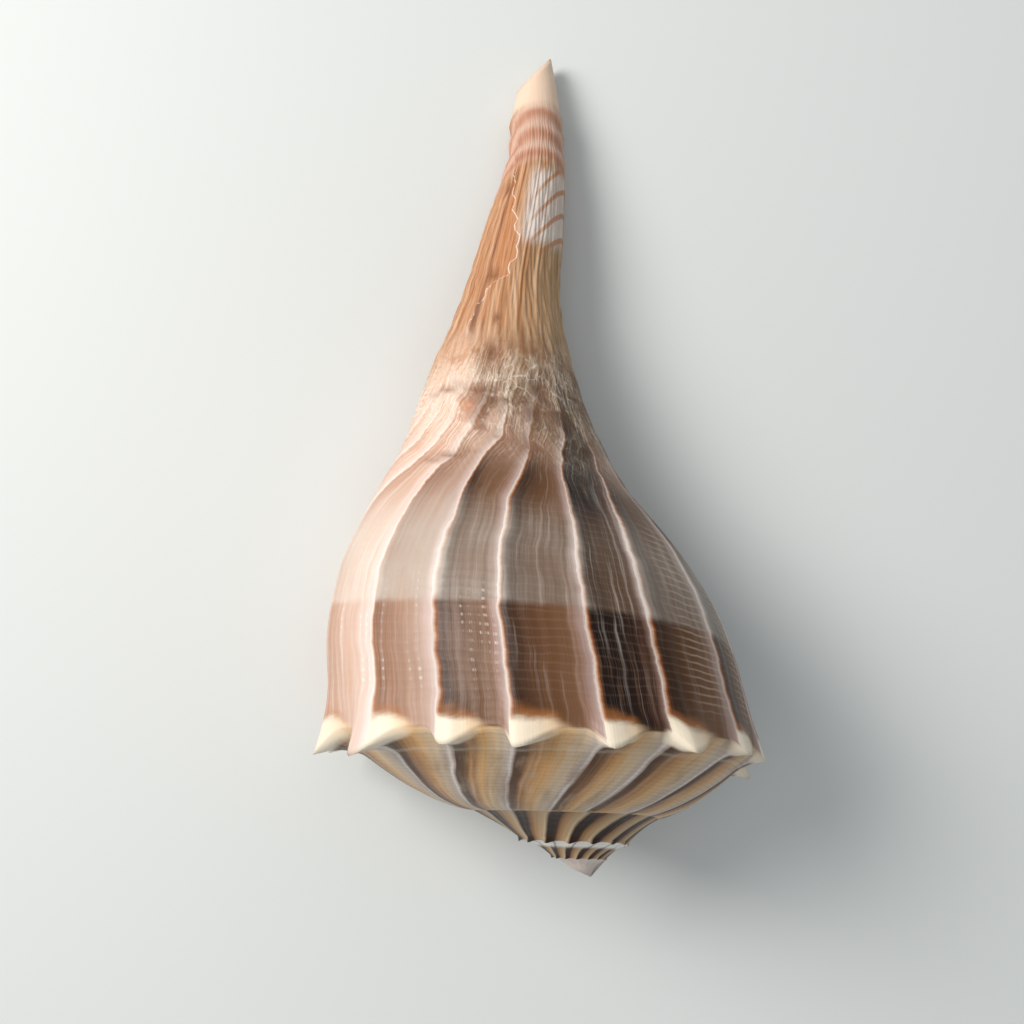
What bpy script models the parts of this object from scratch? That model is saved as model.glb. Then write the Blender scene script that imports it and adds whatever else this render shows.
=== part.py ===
# Lightning whelk shell, one solid that grew as one piece. Lengths are in millimetres up to MM.
#
# The shell is worked out about its coil axis. Depth is measured along the axis from the apex towards
# the tip of the canal. Angles run round the axis: 0 is the left side, -90 the top of the back, -180
# the right side and -270 the underside. The shell grows as the angle rises, which makes it
# left-handed. A column is a line of growth, from the suture down to the canal, and a row runs round.
import math

import bmesh
import bpy
from mathutils import Matrix, Vector

MM = 0.001

# The coil: how much wider each turn is than the one before, the size at the top of the back, and
# the ring that the first turn is laid round, as a share of its shoulder
TURN_GROWTH = 2.0
TOP_ANGLE = -90.0
SHOULDER_RADIUS = 51.4
SHOULDER_DEPTH = 31.5
APEX_DEPTH = -0.6
FIRST_RING_RADIUS = 0.42
FIRST_RING_DEPTH = 0.38

# The outer lip, in the body and in the canal, and how far round the shell wraps from it
LIP_ANGLE = 29.0
CANAL_LIP_ANGLE = 58.0
CANAL_SPAN = 296.0
CANAL_BEGINS = 80.0
CANAL_FORMED = 140.0

# The outline of the back below the shoulder: depth, half width, bend of the middle to the right,
# and the share of the turn's growth that is felt at that depth
BODY_OUTLINE = (
    (31.5, 51.4, -1.5, 1.0),
    (40.0, 50.8, -2.4, 1.0),
    (50.0, 50.0, -3.4, 1.0),
    (60.0, 48.6, -4.5, 0.95),
    (70.0, 45.8, -5.0, 0.88),
    (80.0, 40.2, -5.6, 0.79),
    (90.0, 33.6, -7.9, 0.69),
    (100.0, 27.7, -10.6, 0.58),
    (115.0, 22.8, -13.3, 0.42),
    (130.0, 18.7, -13.9, 0.28),
    (150.0, 13.5, -12.4, 0.13),
    (170.0, 11.1, -8.5, 0.05),
    (190.0, 8.5, -4.8, 0.0),
    (205.0, 7.3, -3.9, 0.0),
    (215.0, 5.8, -3.6, 0.0),
)
CANAL_SAG = 3.2
SAG_BEGINS = 110.0
SAG_LENGTH = 110.0
UNDERSIDE_FLATTENING = 0.1

# The slanted end of the canal: depth on its short left side and on its long right side
TIP_BEGINS = 190.0
TIP_SHORT = 212.0
TIP_LONG = 222.0
TIP_POINT = 1.5

# How far out on a turn's ramp the next turn is laid, and the slope of the ramp at its two edges, on
# the small early turns and on the last ones, with the angle where each change begins and its length
EARLY_COVER = 1.0
LATE_COVER = 0.72
COVER_CHANGE = (-700.0, 140.0)
EARLY_RAMP_SLOPES = (1.0, 0.25)
LATE_RAMP_SLOPES = (0.15, 0.8)
RAMP_CHANGE = (-420.0, 140.0)
LEAD_FADE = 1.5

# Spines: where the ones nearest the lip stand and how tall each is, and the step between the older
# ones. A spine spreads a share of a step to its younger and its older side, and some way up and down
LAST_SPINES = (29.0, 19.0, -2.5, -31.5, -57.5, -74.0, -96.0, -118.0, -141.0, -166.0, -194.0)
SPINE_SIZES = (0.9, 0.9, 1.0, 1.15, 0.75, 0.9, 0.9, 0.95, 0.7, 0.6, 1.05, 1.0)
SPINES_PER_TURN = 15
SPINES_IN_ALL = 55
SPINE_STEP = 360.0 / SPINES_PER_TURN
SPINE_HEIGHT = 6.0
SPINE_YOUNG_SIDE = 0.3
SPINE_OLD_SIDE = 0.55
SPINE_ROUNDING = 1.3
SPINE_TAPER = 2.0
SPINE_REACH_UP = 7.0
SPINE_REACH_DOWN = 11.0
SPINE_LEAN_OUT = 0.6
SPINE_LEAN_BACK = 0.8

# Walls and the hollow
WALL = 3.0
SUTURE_WALL = 1.5
THIN_RAMP_SHARE = 0.5
CANAL_WALL = 2.4
TIP_WALL = 1.4
COLUMELLA_RADIUS = 3.0
COLUMELLA_TURN = 0.4
COLUMELLA_NECK = 40.0
CANAL_BACK_SHARE = 0.75

# How the shell lies: its axis leans to the left of straight away and its canal tip is the lower end
AXIS_LEAN = 2.5
AXIS_TILT = 8.0
AXIS_ROLL = 0.0
REST_FLAT = 0.25

# Mesh fineness
STEPS_PER_SPINE = 5
RAMP_ROWS = 4
SIDE_DEPTHS = (44.0, 52.0, 60.0, 68.0, 76.0, 84.0, 92.0, 100.0, 110.0, 122.0, 136.0, 152.0, 170.0,
               190.0, 203.0, 215.0)
COVERED_ROW_SHARE = 0.5
FOOT_DEPTHS = (34.5, 38.0)
CHAMBER_STEP = 3
CHAMBER_COLUMNS = 15

TURN_COLUMNS = STEPS_PER_SPINE * SPINES_PER_TURN
LAP_COLUMNS = TURN_COLUMNS - STEPS_PER_SPINE
LAST_COLUMN = STEPS_PER_SPINE * SPINES_IN_ALL
OPEN_COLUMN = LAST_COLUMN - LAP_COLUMNS
FOOT_ROWS = 2 + len(FOOT_DEPTHS)
FOOT_ROW = RAMP_ROWS + FOOT_ROWS
LAST_ROW = FOOT_ROW + len(SIDE_DEPTHS)


def mix(first, second, share):
    return first + (second - first) * share


def smooth(share):
    share = min(max(share, 0.0), 1.0)
    return share * share * (3.0 - 2.0 * share)


def curve_between(start, end, start_slope, end_slope, share):
    rising = share * share * (3.0 - 2.0 * share)
    leaving = ((share - 2.0) * share + 1.0) * share
    arriving = (share - 1.0) * share * share
    return mix(start, end, rising) + leaving * start_slope + arriving * end_slope


def read_outline(depth, column):
    """One column of the body outline at a depth, on a smooth curve through the outline's points."""
    points = BODY_OUTLINE
    if depth <= points[0][0]:
        return points[0][column]
    if depth >= points[-1][0]:
        return points[-1][column]
    low = max(i for i, point in enumerate(points) if point[0] <= depth)
    before, after = max(low - 1, 0), min(low + 2, len(points) - 1)
    first, second = points[low], points[low + 1]
    length = second[0] - first[0]
    start_slope = (second[column] - points[before][column]) / (second[0] - points[before][0])
    end_slope = (points[after][column] - first[column]) / (points[after][0] - first[0])
    share = (depth - first[0]) / length
    return curve_between(first[column], second[column], start_slope * length, end_slope * length, share)


def growth(angle, share=1.0):
    return TURN_GROWTH ** (share * (angle - TOP_ANGLE) / 360.0)


def column_angle(column):
    """The angle of a line of growth at the shoulder. A spine stands on every STEPS_PER_SPINE-th."""
    place = (LAST_COLUMN - column) / STEPS_PER_SPINE
    seen = len(LAST_SPINES) - 1
    if place >= seen:
        return LAST_SPINES[-1] - (place - seen) * SPINE_STEP
    return mix(LAST_SPINES[int(place)], LAST_SPINES[int(place) + 1], place % 1.0)


def shoulder(angle):
    return SHOULDER_RADIUS * growth(angle), SHOULDER_DEPTH * growth(angle)


def cover(angle):
    return mix(EARLY_COVER, LATE_COVER, smooth((angle - COVER_CHANGE[0]) / COVER_CHANGE[1]))


def ramp_point(sutures, column, share):
    """Radius, depth and angle on the ramp, from the suture (share 0) to the shoulder (share 1)."""
    angle = column_angle(column)
    inner_radius, inner_depth, lead = sutures[column]
    outer_radius, outer_depth = shoulder(angle)
    width = outer_radius - inner_radius
    late = smooth((angle - RAMP_CHANGE[0]) / RAMP_CHANGE[1])
    start_slope = mix(EARLY_RAMP_SLOPES[0], LATE_RAMP_SLOPES[0], late) * width
    end_slope = mix(EARLY_RAMP_SLOPES[1], LATE_RAMP_SLOPES[1], late) * width
    depth = curve_between(inner_depth, outer_depth, start_slope, end_slope, share)
    return mix(inner_radius, outer_radius, share), depth, angle + lead * (1.0 - share) ** LEAD_FADE


def lay_sutures():
    """Each turn is laid on the ramp of the one before, where that turn's cover share says."""
    sutures = []
    for column in range(LAST_COLUMN + 1):
        angle = column_angle(column)
        if column < LAP_COLUMNS:
            radius, depth = shoulder(angle)
            sutures.append((FIRST_RING_RADIUS * radius, FIRST_RING_DEPTH * depth, 0.0))
            continue
        older = column - LAP_COLUMNS
        radius, depth, there = ramp_point(sutures, older, cover(column_angle(older)))
        sutures.append((radius, depth, there + 360.0 - angle))
    return sutures


def canal_share(depth):
    return smooth((depth - CANAL_BEGINS) / (CANAL_FORMED - CANAL_BEGINS))


def side_point(angle, depth, back=0.0):
    """Radius, depth and angle below the shoulder. In the canal the hollow goes less far back."""
    share = canal_share(depth)
    body_span = LIP_ANGLE - column_angle(OPEN_COLUMN)
    lip = mix(LIP_ANGLE, CANAL_LIP_ANGLE, share)
    behind = LIP_ANGLE - angle - back * (1.0 - mix(1.0, CANAL_BACK_SHARE, share))
    there = lip - behind * mix(1.0, CANAL_SPAN / body_span, share)
    size = growth(there, read_outline(depth, 3))
    radius = read_outline(depth, 1) * size
    if depth > TIP_BEGINS:
        longer = (0.5 - 0.5 * math.cos(math.radians(there))) ** TIP_POINT
        end = mix(TIP_SHORT, TIP_LONG, longer)
        depth = TIP_BEGINS + (depth - TIP_BEGINS) * (end - TIP_BEGINS) / (SIDE_DEPTHS[-1] - TIP_BEGINS)
    return radius, depth * size, there


def row_places(angle):
    """Where each row crosses a column: a share of the ramp, or a depth below the shoulder."""
    edge = cover(angle)
    places = [("ramp", edge * row / RAMP_ROWS) for row in range(RAMP_ROWS + 1)]
    places += [("ramp", mix(edge, 1.0, COVERED_ROW_SHARE)), ("ramp", 1.0)]
    places += [("side", depth) for depth in FOOT_DEPTHS + SIDE_DEPTHS]
    return places


def put(radius, depth, angle):
    """The point in space, with the canal's bend and sag and the flatter underside."""
    turn = math.radians(angle)
    under = max(math.sin(turn), 0.0)
    height = -radius * math.sin(turn) * (1.0 - UNDERSIDE_FLATTENING * under)
    side = read_outline(depth, 2) - radius * math.cos(turn)
    return Vector((side, depth, height - CANAL_SAG * smooth((depth - SAG_BEGINS) / SAG_LENGTH)))


def spine_size(column):
    """How much of a spine stands on a column. It is steeper on its younger side, towards the lip."""
    place = (LAST_COLUMN - column) / STEPS_PER_SPINE
    young = math.ceil(place) - place
    rise = smooth(1.0 - (1.0 - young) / SPINE_OLD_SIDE) ** SPINE_ROUNDING
    drop = smooth(1.0 - young / SPINE_YOUNG_SIDE) ** SPINE_ROUNDING
    low = min(int(place), len(SPINE_SIZES) - 2)
    each = mix(SPINE_SIZES[low], SPINE_SIZES[low + 1], min(place - low, 1.0))
    return max(rise, drop) * min(place, 1.0) * each


def spine_push(column, kind, value, angle, sutures):
    size = growth(column_angle(column))
    if kind == "ramp":
        width = shoulder(column_angle(column))[0] - sutures[column][0]
        near = 1.0 - (1.0 - value) * width / (SPINE_REACH_UP * size)
    else:
        near = 1.0 - (value - SHOULDER_DEPTH) / SPINE_REACH_DOWN
    push = SPINE_HEIGHT * size * spine_size(column) * max(near, 0.0) ** SPINE_TAPER
    turn = math.radians(angle)
    outwards = -SPINE_LEAN_OUT * push
    return Vector((outwards * math.cos(turn), -SPINE_LEAN_BACK * push, outwards * math.sin(turn)))


def outside_point(sutures, column, place):
    kind, value = place
    if kind == "ramp":
        radius, depth, angle = ramp_point(sutures, column, value)
    else:
        radius, depth, angle = side_point(column_angle(column), value)
    return put(radius, depth, angle) + spine_push(column, kind, value, angle, sutures)


def wall_thickness(kind, value):
    if kind == "ramp":
        return mix(SUTURE_WALL, WALL, smooth(value / THIN_RAMP_SHARE))
    thick = mix(WALL, CANAL_WALL, canal_share(value))
    return mix(thick, TIP_WALL, smooth((value - TIP_BEGINS) / (SIDE_DEPTHS[-1] - TIP_BEGINS)))


def inside_points(sutures, column):
    """The inner face of the outer wall along one column, from beyond the older turn's shoulder."""
    angle = column_angle(column)
    back = LIP_ANGLE - angle
    foot = shoulder(column_angle(column - LAP_COLUMNS))[0]
    start = (foot - sutures[column][0]) / (shoulder(angle)[0] - sutures[column][0])
    line = []
    for kind, value in row_places(angle):
        if kind == "ramp":
            value = mix(start, 1.0, value)
            line.append(ramp_point(sutures, column, value) + (wall_thickness(kind, value),))
        else:
            line.append(side_point(angle, value, back) + (wall_thickness(kind, value),))
    points = []
    for row, (radius, depth, there, thick) in enumerate(line):
        before, after = line[max(row - 1, 0)], line[min(row + 1, len(line) - 1)]
        slope = math.atan2(after[1] - before[1], after[0] - before[0])
        points.append(put(radius - thick * math.sin(slope), depth + thick * math.cos(slope), there))
    return points


def columella_points(column, share):
    """The older turn and the columella, seen in the hollow, from where the wall's foot ends."""
    angle = column_angle(column)
    back = column_angle(OPEN_COLUMN) - angle
    points = []
    for kind, value in row_places(angle)[FOOT_ROW:]:
        radius, depth, there = side_point(angle, value, back)
        taper = smooth(share / COLUMELLA_TURN) * smooth((value - FOOT_DEPTHS[-1]) / COLUMELLA_NECK)
        points.append(put(mix(radius, COLUMELLA_RADIUS, taper), depth, there))
    return points


class Net:
    """Points joined by faces."""

    def __init__(self):
        self.points = []
        self.faces = []

    def keep(self, point):
        self.points.append(point)
        return len(self.points) - 1

    def sew(self, left, right):
        for row in range(min(len(left), len(right)) - 1):
            face = (left[row], right[row], right[row + 1], left[row + 1])
            self.faces.append(tuple(dict.fromkeys(face)))

    def close_gap(self, left, right):
        """Closes the gap between two lines that have different numbers of points."""
        i = j = 0
        while i < len(left) - 1 or j < len(right) - 1:
            if (i + 1) / (len(left) - 1) <= (j + 1) / (len(right) - 1):
                face = (left[i], left[i + 1], right[j])
                i += 1
            else:
                face = (left[i], right[j + 1], right[j])
                j += 1
            if len(set(face)) == 3:
                self.faces.append(face)


def make_columns(net, sutures):
    columns = []
    for column in range(LAST_COLUMN + 1):
        places = row_places(column_angle(column))
        if column < OPEN_COLUMN:
            places = places[: RAMP_ROWS + 1]
        line = [net.keep(outside_point(sutures, column, place)) for place in places[1:]]
        if column < LAP_COLUMNS:
            line.insert(0, net.keep(outside_point(sutures, column, places[0])))
        else:
            line.insert(0, columns[column - LAP_COLUMNS][RAMP_ROWS])
        columns.append(line)
    return columns


def make_hollow(net, sutures, columns):
    """The hollow's outer and inner faces, which meet at the older turn."""
    walls, pillars = [], []
    for step in range(CHAMBER_COLUMNS + 1):
        column = LAST_COLUMN - step * CHAMBER_STEP
        if step == 0:
            pillar = columns[OPEN_COLUMN][FOOT_ROW:]
        else:
            share = step / CHAMBER_COLUMNS
            pillar = [net.keep(p) for p in columella_points(column - LAP_COLUMNS, share)]
        wall = [pillar[0]] + [net.keep(p) for p in inside_points(sutures, column)[1:]]
        walls.append(wall)
        pillars.append(pillar)
    return walls, pillars


def make_lip(net, columns, inner):
    """The rounded edge of the lip, from the outside to the hollow."""
    outer = columns[LAST_COLUMN]
    edges = [outer]
    for step in range(1, FOOT_ROWS):
        share = step / FOOT_ROWS
        edge = [columns[OPEN_COLUMN][RAMP_ROWS + step]]
        for row in range(1, LAST_ROW + 1):
            first, second = net.points[outer[row]], net.points[inner[row]]
            along = net.points[outer[min(row + 1, LAST_ROW)]] - net.points[outer[row - 1]]
            forward = (second - first).cross(along).normalized()
            bulge = 0.5 * (second - first).length * math.sin(math.pi * share)
            edge.append(net.keep(first.lerp(second, share) + bulge * forward))
        edges.append(edge)
    edges.append(inner)
    return edges


def weave_shell():
    net = Net()
    sutures = lay_sutures()
    columns = make_columns(net, sutures)
    walls, pillars = make_hollow(net, sutures, columns)
    edges = make_lip(net, columns, walls[0])
    for lines in (columns, edges, walls, pillars):
        for left, right in zip(lines, lines[1:]):
            net.sew(left, right)
    net.close_gap(walls[-1], pillars[-1])
    outer_end = [line[-1] for line in columns[OPEN_COLUMN:]]
    inner_end = [line[-1] for line in pillars + walls[::-1] + edges[-2::-1]]
    net.close_gap(outer_end, inner_end)
    apex = net.keep(Vector((0.0, APEX_DEPTH, 0.0)))
    loop = [line[0] for line in columns[:LAP_COLUMNS]] + columns[0][:0:-1]
    for first, second in zip(loop, loop[1:] + loop[:1]):
        net.faces.append((first, second, apex))
    return net


def lay_down(points):
    """Turns the shell as it lies, and sets it on the ground with its middle over the origin."""
    lean = Matrix.Rotation(math.radians(AXIS_LEAN), 3, "Z")
    tilt = Matrix.Rotation(math.radians(-AXIS_TILT), 3, "X")
    roll = Matrix.Rotation(math.radians(AXIS_ROLL), 3, "Y")
    turned = [MM * (lean @ tilt @ roll @ point) for point in points]
    low = Vector(min(p[i] for p in turned) for i in range(3))
    high = Vector(max(p[i] for p in turned) for i in range(3))
    middle = Vector(((low.x + high.x) / 2.0, (low.y + high.y) / 2.0, low.z))
    laid = [point - middle for point in turned]
    for point in laid:
        if point.z < MM * REST_FLAT:
            point.z = 0.0
    return laid


def shell_material():
    material = bpy.data.materials.new("shell")
    material.use_nodes = True
    shader = material.node_tree.nodes["Principled BSDF"]
    shader.inputs["Base Color"].default_value = (0.42, 0.27, 0.18, 1.0)
    shader.inputs["Roughness"].default_value = 0.38
    shader.inputs["Metallic"].default_value = 0.0
    return material


def make_shell():
    net = weave_shell()
    mesh = bpy.data.meshes.new("whelk_shell")
    mesh.from_pydata(lay_down(net.points), [], net.faces)
    work = bmesh.new()
    work.from_mesh(mesh)
    bmesh.ops.recalc_face_normals(work, faces=work.faces)
    bmesh.ops.triangulate(work, faces=work.faces)
    work.to_mesh(mesh)
    work.free()
    mesh.shade_smooth()
    mesh.materials.append(shell_material())
    shell = bpy.data.objects.new("whelk_shell", mesh)
    bpy.context.collection.objects.link(shell)


for old in list(bpy.data.objects):
    bpy.data.objects.remove(old, do_unlink=True)
make_shell()
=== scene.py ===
import math
from types import SimpleNamespace

import bpy
import numpy as np
from mathutils import Matrix, Vector


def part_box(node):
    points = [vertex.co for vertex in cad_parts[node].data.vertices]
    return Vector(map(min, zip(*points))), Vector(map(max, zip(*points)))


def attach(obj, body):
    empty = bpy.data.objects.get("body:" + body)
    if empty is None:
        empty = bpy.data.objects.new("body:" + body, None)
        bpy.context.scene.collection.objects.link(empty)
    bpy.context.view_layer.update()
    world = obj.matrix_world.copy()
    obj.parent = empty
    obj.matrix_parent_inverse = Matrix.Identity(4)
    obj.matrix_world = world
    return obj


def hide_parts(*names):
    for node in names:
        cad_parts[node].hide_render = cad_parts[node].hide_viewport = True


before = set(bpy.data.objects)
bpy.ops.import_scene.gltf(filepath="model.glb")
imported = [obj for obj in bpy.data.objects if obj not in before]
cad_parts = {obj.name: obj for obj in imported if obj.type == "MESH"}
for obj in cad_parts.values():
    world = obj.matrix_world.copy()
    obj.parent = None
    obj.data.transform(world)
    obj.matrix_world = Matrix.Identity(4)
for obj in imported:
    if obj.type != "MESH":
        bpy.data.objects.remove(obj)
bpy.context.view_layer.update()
mm = 0.001
print("frame loaded")

# The shell is worked out about its coil axis, in millimetres. Depth runs along the axis from the apex to the
# tip of the canal. Angles run round it: 0 is the left side, -90 the top of the back, -180 the right side.
# Age counts spines back from the lip. A column is a line of growth and a row runs round the shell.
coil = {
    "turnGrowth": 2.0,         # how much wider each turn is than the one before
    "topAngle": -90.0,
    "shoulderRadius": 51.4,    # at the top of the back
    "shoulderDepth": 31.5,
    "apexDepth": -0.6,
    "firstRing": (0.42, 0.38),
    "lipAngle": 29.0,
    "canalLipAngle": 58.0,
    "canalSpan": 296.0,        # how far the shell wraps round the canal
    "canalBegins": 80.0,
    "canalFormed": 140.0,
    "canalSag": 3.2,
    "sagBegins": 110.0,
    "sagLength": 110.0,
    "undersideFlattening": 0.1,
    "tipBegins": 190.0,
    "tipShort": 212.0,         # the canal's slanted end, on its left side
    "tipLong": 222.0,          # and on its right side
    "tipPoint": 1.5,
    "earlyCover": 1.0,         # how far out on a turn's ramp the next turn is laid
    "lateCover": 0.72,
    "earlyRampSlopes": (1.0, 0.25),
    "lateRampSlopes": (0.15, 0.8),
    "coverTurns": (-700.0, 140.0),
    "rampTurns": (-420.0, 140.0),
    "leadFade": 1.5,
    "axisLean": 2.5,
    "axisTilt": 8.0,
    "restFlat": 0.25,
}

# Depth, half width, bend to the right, and the share of the turn's growth felt there
outline = np.array((
    (31.5, 51.4, -1.5, 1.0),
    (40.0, 50.8, -2.4, 1.0),
    (50.0, 50.0, -3.4, 1.0),
    (60.0, 48.6, -4.5, 0.95),
    (70.0, 45.8, -5.0, 0.88),
    (80.0, 40.2, -5.6, 0.79),
    (90.0, 33.6, -7.9, 0.69),
    (100.0, 27.7, -10.6, 0.58),
    (115.0, 22.8, -13.3, 0.42),
    (130.0, 18.7, -13.9, 0.28),
    (150.0, 13.5, -12.4, 0.13),
    (170.0, 11.1, -8.5, 0.05),
    (190.0, 8.5, -4.8, 0.0),
    (205.0, 7.3, -3.9, 0.0),
    (215.0, 5.8, -3.6, 0.0),
))

spines = {
    "lastAngles": (29.0, 19.0, -2.5, -31.5, -57.5, -74.0, -96.0, -118.0, -141.0, -166.0, -194.0),
    "sizes": (0.9, 0.9, 1.0, 1.15, 0.75, 0.9, 0.9, 0.95, 0.7, 0.6, 1.05, 1.0),
    "perTurn": 15,
    "inAll": 55,
    "height": 6.0,
    "smallFrom": 28.0,         # the knobs of the early turns are lower
    "smallShare": 0.45,
    "youngSide": 0.30,         # how far a spine spreads to either side, in steps from spine to spine
    "oldSide": 0.55,
    "rounding": 1.3,
    "taper": 2.0,
    "reachUp": 7.0,
    "reachDown": 11.0,
    "lean": (0.6, 0.8),        # outwards and towards the apex
}

walls = {"body": 3.0, "suture": 1.5, "canal": 2.4, "tip": 1.4, "columella": 3.0, "columellaTurn": 0.4,
         "columellaNeck": 40.0, "canalBackShare": 0.75, "thinRampShare": 0.5, "lipBulge": 0.5}

fineness = {"stepsPerSpine": 25, "rampRows": 16, "rampFootRows": 5, "footRows": 12, "sideRows": 108,
            "footDepth": 38.0, "chamberStep": 5, "chamberColumns": 45, "pillarBlend": 4.0}

# The low relief. The ridges stand at these ages, in spines back from the lip, and the lines of growth bend to
# the older side at each distance below the keel. A pair is where a form starts to come or go, and over what
# length it does.
relief = {
    "ridgeAges": (0.0, 1.0, 2.0, 3.15, 3.9, 4.92, 5.93, 6.75, 7.9),
    "ridgeLag": 0.10,
    "bendFrom": 14.0,
    "bendPlaces": (47.0, 54.0, 60.0, 65.0, 69.0, 74.0, 106.0),
    "bends": (1.0, 1.02, 1.04, 1.11, 1.17, 1.245, 1.74),
    "bendSpread": 8.0,         # the bend is averaged over this much depth to either side, so it has no corner
    "wobble": 0.010,
    "neckWobble": 0.03,
    "neckWobbleFrom": (56.0, 20.0),
    "neckWobbleTo": (120.0, 20.0),
    "ridgeHeight": 0.34,
    "rampRidgeHeight": 0.16,
    "ridgeRises": (0.68, 0.25),
    "ridgeFalls": (0.95, 0.06),
    "ridgeLow": 0.4,           # the share of the ridges' height that is left at the neck
    "ridgeLowFrom": (46.0, 16.0),
    "ridgeEnds": (120.0, 30.0),
    "rampLow": 0.3,            # and at the suture
    "rampLowFrom": (0.0, 22.0),
    "lineHeight": 0.10,
    "lineEnds": (176.0, 12.0),
    "neckHeight": 0.45,
    "neckBegins": (62.0, 10.0),
    "neckEnds": (150.0, 30.0),
    "ringHeight": 0.8,
    "ringDepths": (190.0, 196.5, 202.0),
    "ringWidth": 2.2,
    "collarBegins": (186.0, 6.0),
    "spineFlat": 0.8,          # how much of the relief a spine takes away
}

# Old injuries on the neck: where each is (angle, depth), how wide in degrees, how long and how deep in mm
scars = {
    "pits": ((-78.0, 140.0, 5.0, 1.6, 0.9), (-77.0, 129.0, 8.0, 3.6, 0.6), (-45.0, 181.0, 9.0, 2.2, 0.9),
             (-42.0, 121.0, 14.0, 1.0, 0.6), (-66.0, 119.0, 12.0, 1.2, 0.6), (-50.0, 101.5, 14.0, 1.1, 0.6),
             (-110.0, 117.0, 6.0, 3.0, 0.5), (-93.0, 102.0, 7.0, 2.6, 0.5), (-64.0, 154.0, 8.0, 1.8, 0.8)),
    "knobs": ((-52.6, 106.0, 4.0, 1.6, 0.7),),
    "flapDepths": (132.0, 142.0, 150.0, 153.0, 161.0, 176.0, 190.0, 205.0),
    "flapAngles": (-49.0, -49.0, -62.0, -81.0, -90.0, -67.0, -50.0, -37.0),
    "flapRagged": ((2.5, 1.1), (1.5, 2.7)),  # degrees, and waves in radians a mm
    "flapScale": 10.0,
    "flapHeight": 0.6,
    "flapBegins": (134.0, 6.0),
    "flapEnds": (196.0, 10.0),
    "flapRises": (-2.0, 4.0),  # in degrees past the flap's edge
    "flapFalls": (30.0, 40.0),
    "highest": 0.3,
}

spineStep = 360.0 / spines["perTurn"]
steps = fineness["stepsPerSpine"]
turnColumns = steps * spines["perTurn"]
lapColumns = turnColumns - steps
lastColumn = steps * spines["inAll"]
openColumn = lastColumn - lapColumns
rampRows, footRows, sideRows = fineness["rampRows"], fineness["footRows"], fineness["sideRows"]
rampFootRows = fineness["rampFootRows"]
footRow = rampRows + footRows
endDepth = outline[-1][0]


def mix(first, second, share):
    return first + (second - first) * share


def smooth(share):
    share = np.clip(share, 0.0, 1.0)
    return share * share * (3.0 - 2.0 * share)


def rise(value, start, length):
    return smooth((value - start) / length)


def curveBetween(start, end, startSlope, endSlope, share):
    rising = share * share * (3.0 - 2.0 * share)
    leaving = ((share - 2.0) * share + 1.0) * share
    arriving = (share - 1.0) * share * share
    return mix(start, end, rising) + leaving * startSlope + arriving * endSlope


def readOutline(depth, column):
    depths, values = outline[:, 0], outline[:, column]
    depth = np.clip(depth, depths[0], depths[-1])
    low = np.clip(np.searchsorted(depths, depth, "right") - 1, 0, len(depths) - 2)
    before, after = np.maximum(low - 1, 0), np.minimum(low + 2, len(depths) - 1)
    length = depths[low + 1] - depths[low]
    startSlope = (values[low + 1] - values[before]) / (depths[low + 1] - depths[before]) * length
    endSlope = (values[after] - values[low]) / (depths[after] - depths[low]) * length
    return curveBetween(values[low], values[low + 1], startSlope, endSlope, (depth - depths[low]) / length)


def growth(angle, share=1.0):
    return coil["turnGrowth"] ** (share * (angle - coil["topAngle"]) / 360.0)


def ageOf(column):
    return (lastColumn - column) / steps


def columnAngle(column):
    age, known = ageOf(column), spines["lastAngles"]
    near = np.interp(age, np.arange(len(known)), known)
    return np.where(age >= len(known) - 1, known[-1] - (age - len(known) + 1) * spineStep, near)


def shoulder(angle):
    return coil["shoulderRadius"] * growth(angle), coil["shoulderDepth"] * growth(angle)


def cover(angle):
    return mix(coil["earlyCover"], coil["lateCover"], rise(angle, *coil["coverTurns"]))


def rampPoint(sutures, column, share):
    angle = columnAngle(column)
    innerRadius, innerDepth, lead = (sutures[..., i][column] for i in range(3))
    outerRadius, outerDepth = shoulder(angle)
    width = outerRadius - innerRadius
    late = rise(angle, *coil["rampTurns"])
    startSlope = mix(coil["earlyRampSlopes"][0], coil["lateRampSlopes"][0], late) * width
    endSlope = mix(coil["earlyRampSlopes"][1], coil["lateRampSlopes"][1], late) * width
    depth = curveBetween(innerDepth, outerDepth, startSlope, endSlope, share)
    return mix(innerRadius, outerRadius, share), depth, angle + lead * (1.0 - share) ** coil["leadFade"]


def laySutures():
    sutures = np.zeros((lastColumn + 1, 3))
    first = np.arange(lapColumns)
    radius, depth = shoulder(columnAngle(first))
    sutures[first, 0], sutures[first, 1] = coil["firstRing"][0] * radius, coil["firstRing"][1] * depth
    for start in range(lapColumns, lastColumn + 1, lapColumns):  # one lap at a time, on the lap before it
        column = np.arange(start, min(start + lapColumns, lastColumn + 1))
        older = column - lapColumns
        radius, depth, there = rampPoint(sutures, older, cover(columnAngle(older)))
        sutures[column] = np.stack((radius, depth, there + 360.0 - columnAngle(column)), -1)
    return sutures


def canalShare(depth):
    return rise(depth, coil["canalBegins"], coil["canalFormed"] - coil["canalBegins"])


def sidePoint(angle, depth, back=0.0):
    share = canalShare(depth)
    bodySpan = coil["lipAngle"] - columnAngle(openColumn)
    lip = mix(coil["lipAngle"], coil["canalLipAngle"], share)
    behind = coil["lipAngle"] - angle - back * (1.0 - mix(1.0, walls["canalBackShare"], share))
    there = lip - behind * mix(1.0, coil["canalSpan"] / bodySpan, share)
    size = growth(there, readOutline(depth, 3))
    radius = readOutline(depth, 1) * size
    longer = (0.5 - 0.5 * np.cos(np.radians(there))) ** coil["tipPoint"]
    end = mix(coil["tipShort"], coil["tipLong"], longer)
    begins = coil["tipBegins"]
    slanted = begins + (depth - begins) * (end - begins) / (endDepth - begins)
    return radius, np.where(depth > begins, slanted, depth) * size, there


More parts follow.
